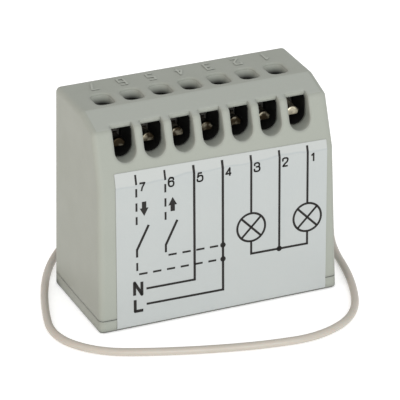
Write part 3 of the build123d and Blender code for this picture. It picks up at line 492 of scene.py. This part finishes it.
# one dictionary for each finish, colours from 0 to 1
finishes = {
    "casePlastic": {
        "colour": (0.29, 0.305, 0.271),
        "second": (0.3, 0.313, 0.281),
        "dark": (0.252, 0.262, 0.232),
        "speckle": 0.35,
        # painted highlight: the case's edges are painted paler, partly wear and partly light caught
        # on the edges
        "wornAndSheen": (0.42, 0.435, 0.405),
        "wear": 0.7,
        "wearRadius": 0.00025,
        "softEdge": 0.0009,
        # painted shade: the case is darkened where its walls stand close, in the entries and the
        # holes
        "paintedShadeColour": (0.03, 0.032, 0.028),
        "paintedShade": 1.6,
        "paintedShadeReach": 0.0022,
        "roughness": (0.42, 0.52),
        "grainScale": 5200.0,
        "bump": 0.35,
        "bumpDepth": 0.00002,
        "specular": 0.12,
        # painted light: the slope over the entries is painted a little paler than the roof, as if
        # more lit
        "slope": {
            "between": (0.9, 0.985),
            "soft": 0.01,
            "aside": 0.05,
            "colour": (0.33, 0.347, 0.319),
        },
        # painted highlight: the tops of the raised numbers are painted paler
        "level": {
            "from": 0.03573,
            "to": 0.0358,
            "gather": 1.0,
            "colour": (0.35, 0.366, 0.328),
        },
    },
    "labelFilm": {
        "colour": (0.36, 0.38, 0.378),
        "second": (0.37, 0.388, 0.382),
        "dark": (0.329, 0.347, 0.347),
        "speckle": 0.25,
        "wornAndSheen": (0.45, 0.46, 0.46),
        "wear": 0.4,
        "wearRadius": 0.00012,
        "roughness": (0.36, 0.46),
        "grainScale": 2600.0,
        "bump": 0.12,
        "bumpDepth": 0.00001,
        "specular": 0.5,
        "fold": {
            "height": 0.0253,
            "width": 0.00022,
            "waves": 110.0,
            "swing": 0.0022,
            "above": (0.385, 0.4, 0.392),
            "line": (0.328, 0.352, 0.356),
        },
    },
    "labelInk": {
        "colour": (0.013, 0.0115, 0.0105),
        "second": (0.016, 0.0145, 0.0135),
        "dark": (0.009, 0.008, 0.0075),
        "roughness": (0.5, 0.62),
        "grainScale": 4000.0,
        "bump": 0.1,
        "specular": 0.2,
    },
    "blackMoulding": {
        "colour": (0.007, 0.007, 0.007),
        "second": (0.009, 0.009, 0.008),
        "dark": (0.004, 0.004, 0.004),
        "wornAndSheen": (0.03, 0.03, 0.03),
        "wear": 0.3,
        "roughness": (0.5, 0.65),
        "grainScale": 3600.0,
        "bump": 0.4,
        "bumpDepth": 0.00002,
        "specular": 0.2,
    },
    "boardLaminate": {
        "colour": (0.015, 0.11, 0.045),
        "second": (0.02, 0.13, 0.055),
        "dark": (0.01, 0.07, 0.03),
        "wornAndSheen": (0.35, 0.33, 0.2),
        "wear": 0.7,
        "roughness": (0.28, 0.4),
        "grainScale": 1800.0,
        "bump": 0.2,
        "coat": 0.3,
    },
    # painted shade: the screws' steel is given a dark colour so that the heads down the holes read
    # as shade
    "shadedScrewSteel": {
        "colour": (0.12, 0.117, 0.11),
        "second": (0.09, 0.087, 0.08),
        "dark": (0.05, 0.048, 0.045),
        "metallic": 1.0,
        "wornAndSheen": (0.3, 0.29, 0.27),
        "wear": 0.4,
        "wearRadius": 0.00012,
        "roughness": (0.22, 0.38),
        "patchScale": 500.0,
        "grainScale": 4200.0,
        "bump": 0.25,
    },
    "clampSteel": {
        "colour": (0.3, 0.29, 0.27),
        "second": (0.24, 0.23, 0.21),
        "dark": (0.13, 0.125, 0.115),
        "metallic": 1.0,
        "wornAndSheen": (0.4, 0.39, 0.36),
        "wear": 0.6,
        "wearRadius": 0.00012,
        "roughness": (0.26, 0.42),
        "patchScale": 500.0,
        "grainScale": 4200.0,
        "bump": 0.25,
    },
    "contactBrass": {
        "colour": (0.82, 0.77, 0.62),
        "second": (0.72, 0.66, 0.5),
        "dark": (0.5, 0.43, 0.3),
        "tarnishedAndShaded": (0.03, 0.022, 0.013),
        "metallic": 1.0,
        "wornAndSheen": (0.95, 0.92, 0.82),
        "wear": 0.15,
        "wearRadius": 0.00015,
        "roughness": (0.34, 0.5),
        "patchScale": 600.0,
        "grainScale": 3800.0,
        "bump": 0.3,
    },
    "relayMoulding": {
        "colour": (0.02, 0.02, 0.022),
        "second": (0.026, 0.025, 0.026),
        "dark": (0.01, 0.01, 0.011),
        "wornAndSheen": (0.08, 0.08, 0.08),
        "wear": 0.4,
        "roughness": (0.35, 0.5),
        "grainScale": 4200.0,
        "bump": 0.3,
    },
    "relayCopper": {
        "colour": (0.55, 0.2, 0.06),
        "second": (0.62, 0.24, 0.08),
        "dark": (0.16, 0.05, 0.015),
        "metallic": 0.7,
        "roughness": (0.25, 0.35),
        "turns": 18000.0,
        "turnsAlong": (0.0, 0.0, 1.0),
        "bump": 0.6,
        "coat": 0.4,
    },
    "relayIron": {
        "colour": (0.6, 0.59, 0.56),
        "second": (0.54, 0.53, 0.5),
        "dark": (0.38, 0.37, 0.35),
        "metallic": 1.0,
        "wornAndSheen": (0.8, 0.8, 0.78),
        "wear": 0.5,
        "roughness": (0.26, 0.4),
        "patchScale": 400.0,
        "bump": 0.2,
    },
    "springCopper": {
        "colour": (0.8, 0.5, 0.28),
        "second": (0.72, 0.42, 0.22),
        "dark": (0.45, 0.24, 0.12),
        "metallic": 1.0,
        "wornAndSheen": (0.92, 0.72, 0.5),
        "wear": 0.5,
        "roughness": (0.22, 0.36),
        "patchScale": 400.0,
        "bump": 0.2,
    },
    "fuseMoulding": {
        "colour": (0.085, 0.035, 0.018),
        "second": (0.1, 0.042, 0.022),
        "dark": (0.05, 0.02, 0.01),
        "wornAndSheen": (0.2, 0.12, 0.08),
        "wear": 0.4,
        "roughness": (0.3, 0.42),
        "bump": 0.3,
    },
    "varistorResin": {
        "colour": (0.02, 0.1, 0.42),
        "second": (0.03, 0.13, 0.48),
        "dark": (0.015, 0.07, 0.3),
        "roughness": (0.2, 0.32),
        "grainScale": 900.0,
        "bump": 0.5,
        "bumpDepth": 0.00005,
        "coat": 0.4,
    },
    "filmBox": {
        "colour": (0.62, 0.5, 0.08),
        "second": (0.66, 0.54, 0.1),
        "dark": (0.5, 0.4, 0.06),
        "wornAndSheen": (0.8, 0.72, 0.35),
        "wear": 0.4,
        "roughness": (0.3, 0.42),
        "bump": 0.25,
    },
    "ferrite": {
        "colour": (0.05, 0.05, 0.055),
        "second": (0.065, 0.062, 0.062),
        "dark": (0.025, 0.025, 0.028),
        "wornAndSheen": (0.16, 0.16, 0.16),
        "wear": 0.5,
        "roughness": (0.55, 0.7),
        "grainScale": 1500.0,
        "bump": 0.6,
        "bumpDepth": 0.00004,
    },
    "windingTape": {
        "colour": (0.66, 0.42, 0.03),
        "second": (0.7, 0.46, 0.05),
        "dark": (0.48, 0.28, 0.02),
        "roughness": (0.22, 0.34),
        "turns": 2400.0,
        "turnsAlong": (0.0, 0.0, 1.0),
        "bump": 0.3,
        "coat": 0.3,
    },
    "canSleeve": {
        "colour": (0.015, 0.02, 0.07),
        "second": (0.02, 0.026, 0.085),
        "dark": (0.008, 0.01, 0.04),
        "wornAndSheen": (0.1, 0.12, 0.2),
        "wear": 0.4,
        "roughness": (0.22, 0.34),
        "bump": 0.15,
        "coat": 0.4,
    },
    "chipResin": {
        "colour": (0.018, 0.018, 0.02),
        "second": (0.024, 0.023, 0.024),
        "dark": (0.01, 0.01, 0.01),
        "wornAndSheen": (0.5, 0.5, 0.48),
        "wear": 0.35,
        "wearRadius": 0.00008,
        "roughness": (0.45, 0.6),
        "grainScale": 6000.0,
        "bump": 0.35,
    },
    "chipCeramic": {
        "colour": (0.42, 0.29, 0.16),
        "second": (0.47, 0.33, 0.19),
        "dark": (0.3, 0.2, 0.1),
        "wornAndSheen": (0.8, 0.8, 0.78),
        "wear": 0.8,
        "wearRadius": 0.0002,
        "roughness": (0.3, 0.45),
        "grainScale": 3000.0,
        "bump": 0.25,
    },
    "wireInsulation": {
        "colour": (0.4, 0.368, 0.322),
        "second": (0.42, 0.388, 0.342),
        "dark": (0.35, 0.316, 0.272),
        "speckle": 0.25,
        "roughness": (0.34, 0.46),
        "grainScale": 1600.0,
        "patchScale": 90.0,
        "bump": 0.15,
        "subsurface": 0.08,
    },
}
# painted shade: how far each contact's bar is darkened, partly tarnish and partly shade painted on,
# so the terminals hold darker and paler copies of one brass
contactTarnishAndShade = {1: 0.02, 2: 0.82, 3: 0.92, 4: 0.95, 5: 0.84, 6: 0.88, 7: 1.0}
for number, amount in contactTarnishAndShade.items():
    finishes[f"contactBrass{number}"] = {**finishes["contactBrass"], "tarnishAndShade": amount}
# the case's plastic in the bowls round the screws, with painted shade: darker towards the screws
# and in its hollows
finishes["guidePlastic"] = {
    **finishes["casePlastic"],
    "slope": None,
    "softEdge": 0.0,
    "paintedShade": 0.4,
    "level": {
        "from": 0.0353,
        "to": 0.03443,
        "gather": 2.0,
        "colour": (0.02, 0.021, 0.018),
    },
}
materials = {name: makeFinish(name, look) for name, look in finishes.items()}
print("finishes made:", len(materials))

# which finish each CAD node wears, by the start of its name
nodeFinish = {
    "housing": "casePlastic",
    "base_cover": "casePlastic",
    "front_label": "labelFilm",
    "main_board": "boardLaminate",
    "terminal_block": "blackMoulding",
    "terminal_clamp": "clampSteel",
    "terminal_screw": "shadedScrewSteel",
    "fuse": "fuseMoulding",
    "varistor": "varistorResin",
    "film_capacitor": "filmBox",
    "transformer_core": "ferrite",
    "transformer_winding": "windingTape",
    "input_capacitor": "canSleeve",
    "output_capacitor": "canSleeve",
    "rectifier": "chipResin",
    "voltage_regulator": "chipResin",
    "microcontroller": "chipResin",
    "radio_chip": "chipResin",
    "crystal": "relayIron",
    "relay_drivers": "chipResin",
    "chip_resistors": "chipResin",
    "chip_capacitors": "chipCeramic",
    "antenna_wire": "wireInsulation",
}
# the pieces of each relay, by the end of their names
relayFinish = {
    "coil_pins": "contactBrass",
    "cover": "relayMoulding",
    "base": "relayMoulding",
    "coil": "relayCopper",
    "yoke": "relayIron",
    "armature": "relayIron",
    "contact_spring": "springCopper",
    "fixed_contact": "springCopper",
}


def finishOf(name):
    if name.startswith("relay_") and name != "relay_drivers":
        return relayFinish[name.split("_", 2)[2]]
    if name.startswith("terminal_contact_"):
        return "contactBrass" + name.split("_")[2]
    found = [start for start in nodeFinish if name.startswith(start)]
    return nodeFinish[max(found, key=len)]


def wear(piece, finish):
    piece.data.materials.clear()
    piece.data.materials.append(materials[finish])


for name, node in nodes.items():
    wear(node, finishOf(name))
wear(wire, "wireInsulation")
print("finishes given to", len(nodes), "nodes")


def addPiece(name, shape, finish):
    # turns a finished bmesh into a piece of the scene
    bmesh.ops.recalc_face_normals(shape, faces=shape.faces[:])
    mesh = bpy.data.meshes.new(name)
    shape.to_mesh(mesh)
    shape.free()
    piece = bpy.data.objects.new(name, mesh)
    scene.collection.objects.link(piece)
    wear(piece, finish)
    return piece


def alongRow(number, pitch):
    # how far a terminal stands from the middle of the row
    return (middleTerminal - number) * pitch


# bowls round the screw heads that lead a screwdriver in, in mm
driverGuide = {
    "middle": 1.95,  # how far back the row of holes is
    "pitch": 5.08,
    "hole": (3.3, 4.2),
    "corner": 1.1,
    "into": 0.06,  # how far the rim goes into the hole's wall
    "opening": 1.15,
    "top": 35.5,
    "lip": 34.43,
    "underside": 34.36,
    "foot": 34.42,
    "sides": 48,
    "steps": [0.0, 0.12, 0.28, 0.46, 0.64, 0.82, 1.0],  # from the hole's wall to the lip
}


def holeOutline(settings, angles):
    # the rounded square of the hole, as points round its middle
    halfWidth, halfDepth = (size / 2 + settings["into"] for size in settings["hole"])
    corner = settings["corner"]
    points = []
    for angle in angles:
        across, back = math.cos(angle), math.sin(angle)
        cornerX = math.copysign(halfWidth - corner, across)
        cornerY = math.copysign(halfDepth - corner, back)
        points.append((cornerX + corner * across, cornerY + corner * back))
    return points


def bowlLoops(settings, outline, rim):
    # closed loops of points and their height, over the bowl and back under it
    loops = []
    for step in settings["steps"]:
        drop = (settings["top"] - settings["lip"]) * (1 - step) ** 2
        places = [Vector(outer).lerp(Vector(inner), step) for outer, inner in zip(outline, rim)]
        loops.append((places, settings["lip"] + drop))
    loops.append(([Vector(inner) for inner in rim], settings["underside"]))
    loops.append(([Vector(outer) for outer in outline], settings["foot"]))
    return loops


def makeDriverGuides(settings):
    bowls = bmesh.new()
    sides, opening = settings["sides"], settings["opening"]
    angles = [2 * math.pi * (side + 0.5) / sides for side in range(sides)]
    rim = [(opening * math.cos(angle), opening * math.sin(angle)) for angle in angles]
    loops = bowlLoops(settings, holeOutline(settings, angles), rim)
    for number in terminals:
        middle = Vector((alongRow(number, settings["pitch"]), settings["middle"]))
        rings = []
        for places, height in loops:
            spots = [(middle + place) * millimetre for place in places]
            rings.append([bowls.verts.new((*spot, height * millimetre)) for spot in spots])
        for lower, upper in zip(rings, rings[1:] + rings[:1]):
            for side in range(sides):
                after = (side + 1) % sides
                bowls.faces.new((lower[side], upper[side], upper[after], lower[after]))
    piece = addPiece("driver_guides", bowls, "guidePlastic")
    for face in piece.data.polygons:
        face.use_smooth = True
    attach(piece, "case")


makeDriverGuides(driverGuide)
print("screwdriver guides set in")

# the wiring print on the label, in mm: x from the middle of the label, up from its foot
label = {
    "front": -10.25,  # the front's foot
    "crease": (0.86, 25.3),  # set back and height of the crease
    "eave": (3.6, 34.0),
    "film": 0.12,
    "inkSunk": 0.01,
    "inkRaised": 0.012,
    "middle": 0.66,
    "turnAbout": 14.0,
    "skew": 0.75,  # degrees clockwise
    "pitch": 5.017,
    "line": 0.38,
    "boldLine": 0.42,
    "dashLine": 0.34,
    "lineTop": 26.6,
    "lineN": 6.52,
    "lineL": 3.77,
    "supplyStart": -13.51,  # where the lines from the letters begin
    "lowerDots": 9.27,
    "upperDots": 11.75,
    "dot": 0.48,
    "lampHeight": 13.99,
    "lampRadius": 2.47,
    # each switch: its line, the tip of its lever and the height where it joins line 4
    "switches": [(7, -12.98, "lowerDots"), (6, -8.0, "upperDots")],
    "switchTop": 18.03,  # where the dashes down to the switch end
    "switchDashes": [(0, 0.19), (0.27, 0.44), (0.56, 0.73), (0.84, 1)],
    "lever": (13.6, 17.68),
    "stub": (13.68, 12.3),
    "lastDash": (11.33, 9.91),  # on line 7, under its stub
    "lowerStart": -14.75,
    "lowerDashes": [
        (0.0, 0.1),
        (0.165, 0.264),
        (0.33, 0.427),
        (0.493, 0.591),
        (0.656, 0.756),
        (0.824, 0.919),
    ],
    "upperStart": -9.6,
    "upperDashes": [(0.0, 0.15), (0.255, 0.407), (0.508, 0.66), (0.759, 0.911)],
    "arrows": [(-13.73, 21.87, 19.36), (-8.78, 19.36, 21.82)],  # x, tail and tip
    "arrowStem": 0.76,
    "arrowHead": (0.76, 1.4),  # half its width, and its length
    "digit": (0.9, 1.36),
    "digitLine": 0.29,
    "digitFoot": 23.76,
    "digitAside": 1.01,
    # each letter: its foot and its size
    "letters": {"N": ((-14.93, 5.62), (1.28, 2.26)), "L": ((-14.8, 2.78), (1.4, 2.03))},
    "letterLine": 0.52,
    "atCrease": 1e-4,  # how near the crease a point counts as on it
}


def addStroke(ink, start, end, width):
    along = (Vector(end) - Vector(start)).normalized()
    aside = Vector((-along.y, along.x)) * width / 2
    first, last = Vector(start), Vector(end)
    corners = [first + aside, first - aside, last - aside, last + aside]
    ink.faces.new([ink.verts.new((*corner, 0)) for corner in corners])


def addDashes(ink, start, end, dashes, width):
    # dashes are shares of the way from start to end
    first, way = Vector(start), Vector(end) - Vector(start)
    for low, high in dashes:
        addStroke(ink, first + way * low, first + way * high, width)


def circlePoints(ink, centre, radius, sides):
    points = []
    for side in range(sides):
        angle = 2 * math.pi * side / sides
        x, up = centre[0] + radius * math.cos(angle), centre[1] + radius * math.sin(angle)
        points.append(ink.verts.new((x, up, 0)))
    return points


def addDisc(ink, centre, radius, sides=28):
    ink.faces.new(circlePoints(ink, centre, radius, sides))


def addRing(ink, centre, radius, width, sides=64):
    inner = circlePoints(ink, centre, radius - width / 2, sides)
    outer = circlePoints(ink, centre, radius + width / 2, sides)
    for side in range(sides):
        after = (side + 1) % sides
        ink.faces.new((inner[side], outer[side], outer[after], inner[after]))


def addLamp(ink, settings, number):
    x, up = alongRow(number, settings["pitch"]), settings["lampHeight"]
    radius, width = settings["lampRadius"], settings["line"]
    addRing(ink, (x, up), radius, width)
    reach = radius * math.sqrt(0.5)
    addStroke(ink, (x - reach, up - reach), (x + reach, up + reach), width)
    addStroke(ink, (x - reach, up + reach), (x + reach, up - reach), width)
    addStroke(ink, (x, up + radius), (x, settings["lineTop"]), width)
    addStroke(ink, (x, up - radius), (x, settings["lowerDots"]), width)


def addArrow(ink, settings, x, tail, tip):
    way = 1 if tip > tail else -1
    halfWidth, length = settings["arrowHead"]
    neck = tip - way * length
    addStroke(ink, (x, tail), (x, neck), settings["arrowStem"])
    head = [(x - halfWidth, neck), (x + halfWidth, neck), (x, tip)]
    if way < 0:
        head.reverse()
    ink.faces.new([ink.verts.new((*corner, 0)) for corner in head])


# numbers and letters as strokes in a box one wide and one high, True where a stroke is rounded
signStrokes = {
    "1": [(False, [(0.12, 0.76), (0.56, 1.0), (0.56, 0.0)])],
    "2": [
        (True, [(0.03, 0.68), (0.0, 1.04), (1.0, 1.04), (1.0, 0.6), (0.4, 0.3), (0.04, 0.0)]),
        (False, [(0.04, 0.0), (1.0, 0.0)]),
    ],
    "3": [
        (True, [(0.04, 0.74), (0.04, 1.04), (0.96, 1.04), (0.96, 0.54), (0.36, 0.54)]),
        (True, [(0.36, 0.54), (1.04, 0.54), (1.04, -0.04), (0.0, -0.04), (0.0, 0.28)]),
    ],
    "4": [(False, [(0.74, 0.0), (0.74, 1.0), (0.0, 0.3), (1.04, 0.3)])],
    "5": [
        (False, [(0.92, 1.0), (0.2, 1.0), (0.08, 0.48)]),
        (True, [(0.08, 0.48), (0.3, 0.68), (1.04, 0.68), (1.04, -0.04), (0.0, -0.04), (0.0, 0.26)]),
    ],
    "6": [
        (
            True,
            [
                (0.96, 0.76),
                (0.9, 1.04),
                (0.0, 1.04),
                (0.0, -0.04),
                (1.0, -0.04),
                (1.0, 0.62),
                (0.1, 0.62),
                (0.04, 0.34),
            ],
        )
    ],
    "7": [(False, [(0.0, 1.0), (1.0, 1.0), (0.52, 0.45), (0.36, 0.0)])],
    "N": [(False, [(0.0, 0.0), (0.0, 1.0), (1.0, 0.0), (1.0, 1.0)])],
    "L": [(False, [(0.0, 1.0), (0.0, 0.0), (1.0, 0.0)])],
}


def cutCorners(points):
    # the same stroke with each inner corner cut off at a quarter of its sides
    cut = [points[0]]
    for start, end in zip(points, points[1:]):
        cut.append(start.lerp(end, 0.25))
        cut.append(start.lerp(end, 0.75))
    return cut + [points[-1]]


def addSign(ink, sign, foot, size, width):
    # one number or letter, standing on the middle of its foot
    for rounded, stroke in signStrokes[sign]:
        places = []
        for x, up in stroke:
            places.append(Vector((foot[0] + (x - 0.5) * size[0], foot[1] + up * size[1])))
        if rounded:
            places = cutCorners(cutCorners(places))
        for start, end in zip(places, places[1:]):
            addStroke(ink, start, end, width)
        for place in places[1:-1]:
            addDisc(ink, place, width / 2, sides=10)


def drawPrint(settings):
    ink = bmesh.new()
    width, boldWidth = settings["line"], settings["boldLine"]
    dashWidth, dot = settings["dashLine"], settings["dot"]
    top, lower, upper = settings["lineTop"], settings["lowerDots"], settings["upperDots"]
    place = {number: alongRow(number, settings["pitch"]) for number in terminals}
    # supply lines down to the letters
    for number, height in ((5, settings["lineN"]), (4, settings["lineL"])):
        addStroke(ink, (place[number], top), (place[number], height - width / 2), boldWidth)
        addStroke(ink, (settings["supplyStart"], height), (place[number], height), width)
    for letter, (foot, size) in settings["letters"].items():
        addSign(ink, letter, foot, size, settings["letterLine"])
    # lamps on lines 3 and 1, joined to line 2
    for number in (3, 1):
        addLamp(ink, settings, number)
    addStroke(ink, (place[2], top), (place[2], lower), width)
    addStroke(ink, (place[3] - width / 2, lower), (place[1] + width / 2, lower), width)
    addDisc(ink, (place[2], lower), dot)
    # switches on lines 7 and 6, joined to line 4
    for number, tip, height in settings["switches"]:
        x = place[number]
        foot, head = settings["lever"]
        dashes = settings["switchDashes"]
        addDashes(ink, (x, top), (x, settings["switchTop"]), dashes, dashWidth)
        addStroke(ink, (x, foot), (tip, head), boldWidth)
        addStroke(ink, *((x, end) for end in settings["stub"]), width)
        addDisc(ink, (place[4], settings[height]), dot)
    addStroke(ink, *((place[7], end) for end in settings["lastDash"]), dashWidth)
    lowerStart, upperStart = (settings["lowerStart"], lower), (settings["upperStart"], upper)
    addDashes(ink, lowerStart, (0, lower), settings["lowerDashes"], dashWidth)
    addDashes(ink, upperStart, (0, upper), settings["upperDashes"], dashWidth)
    for arrow in settings["arrows"]:
        addArrow(ink, settings, *arrow)
    for number in terminals:
        foot = (place[number] + settings["digitAside"], settings["digitFoot"])
        addSign(ink, str(number), foot, settings["digit"], settings["digitLine"])
    return ink


def turnPrint(ink, settings):
    # the label is stuck on a little askew
    skew = math.radians(settings["skew"])
    for vert in ink.verts:
        x, up = vert.co.x, vert.co.y
        away = up - settings["turnAbout"]
        vert.co.x = settings["middle"] + x * math.cos(skew) + away * math.sin(skew)
        vert.co.y = up - x * math.sin(skew)


def bendPrint(ink, settings):
    # give the flat print its thickness and lay it over the crease
    crease = Vector(settings["crease"])
    bmesh.ops.bisect_plane(
        ink,
        geom=ink.verts[:] + ink.edges[:] + ink.faces[:],
        plane_co=(0, crease.y, 0),
        plane_no=(0, 1, 0),
        dist=1e-5,
    )
    flat = list(ink.faces)
    for face in flat:
        if face.calc_area() > 1e-12 and face.normal.z < 0:
            face.normal_flip()
    grown = bmesh.ops.extrude_face_region(ink, geom=flat)
    raised = {item for item in grown["geom"] if isinstance(item, bmesh.types.BMVert)}
    slope = (Vector(settings["eave"]) - crease).normalized()
    foot = crease.normalized()
    lowNormal = Vector((-foot.y, foot.x))
    highNormal = Vector((-slope.y, slope.x))
    kink = (lowNormal + highNormal) / (1 + lowNormal.dot(highNormal))
    for vert in ink.verts:
        x, up = vert.co.x, vert.co.y
        lift = settings["inkRaised"] if vert in raised else -settings["inkSunk"]
        stand = settings["film"] + lift
        if up < crease.y - settings["atCrease"]:
            spot = Vector((crease.x * up / crease.y, up)) + lowNormal * stand
        elif up > crease.y + settings["atCrease"]:
            spot = crease + slope * (up - crease.y) + highNormal * stand
        else:
            spot = crease + kink * stand
        vert.co = Vector((x, settings["front"] + spot.x, spot.y)) * millimetre


def makeLabelPrint(settings):
    ink = drawPrint(settings)
    turnPrint(ink, settings)
    bendPrint(ink, settings)
    piece = addPiece("label_print", ink, "labelInk")
    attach(piece, "case")


makeLabelPrint(label)
print("label printed")

# a pale floor lit from below, like a light table, with a soft light beside the camera
# and a weak warm one on the left, in metres
studio = {
    "floorSize": 6.0,
    "floorDrop": 0.00002,  # keeps the floor just clear of the case
    "floorColour": (0.85, 0.85, 0.85),
    "floorRoughness": 0.9,
    "floorGloss": 0.1,
    "floorGlow": 0.38,
    "world": 0.9,
    "white": (1, 1, 1, 1),
    "aim": (0, 0, 0.015),
    "lamps": {
        "key": {
            "power": 8.5,
            "size": 0.7,
            "at": (-0.22, -1.2, 0.34),
            "colour": (0.975, 1.0, 0.985),
        },
        "fill": {
            "power": 1.8,
            "size": 0.6,
            "at": (-1.2, -0.15, 0.3),
            "colour": (1.0, 0.62, 0.38),
        },
    },
}


def makeFloor(settings):
    half = settings["floorSize"] / 2
    corners = [(-half, -half, 0), (half, -half, 0), (half, half, 0), (-half, half, 0)]
    mesh = bpy.data.meshes.new("floor")
    mesh.from_pydata(corners, [], [(0, 1, 2, 3)])
    floor = bpy.data.objects.new("floor", mesh)
    floor.location.z = -settings["floorDrop"]
    scene.collection.objects.link(floor)
    material = bpy.data.materials.new("floor")
    material.use_nodes = True
    shader = material.node_tree.nodes["Principled BSDF"]
    shader.inputs["Base Color"].default_value = (*settings["floorColour"], 1)
    shader.inputs["Roughness"].default_value = settings["floorRoughness"]
    shader.inputs["Specular IOR Level"].default_value = settings["floorGloss"]
    shader.inputs["Emission Color"].default_value = settings["white"]
    shader.inputs["Emission Strength"].default_value = settings["floorGlow"]
    mesh.materials.append(material)


def makeLamp(name, settings, aim):
    data = bpy.data.lights.new(name, "AREA")
    data.shape = "SQUARE"
    data.size = settings["size"]
    data.energy = settings["power"]
    data.color = settings["colour"]
    lamp = bpy.data.objects.new(name, data)
    lamp.location = settings["at"]
    lamp.rotation_mode = "QUATERNION"
    lamp.rotation_quaternion = (Vector(aim) - lamp.location).to_track_quat("-Z", "Y")
    scene.collection.objects.link(lamp)


def makeStudio(settings):
    makeFloor(settings)
    for name, lamp in settings["lamps"].items():
        makeLamp(name, lamp, settings["aim"])
    world = bpy.data.worlds.new("studio")
    world.use_nodes = True
    background = world.node_tree.nodes["Background"]
    background.inputs["Color"].default_value = settings["white"]
    background.inputs["Strength"].default_value = settings["world"]
    scene.world = world
    scene.view_settings.view_transform = "Standard"


makeStudio(studio)
print("studio lit")
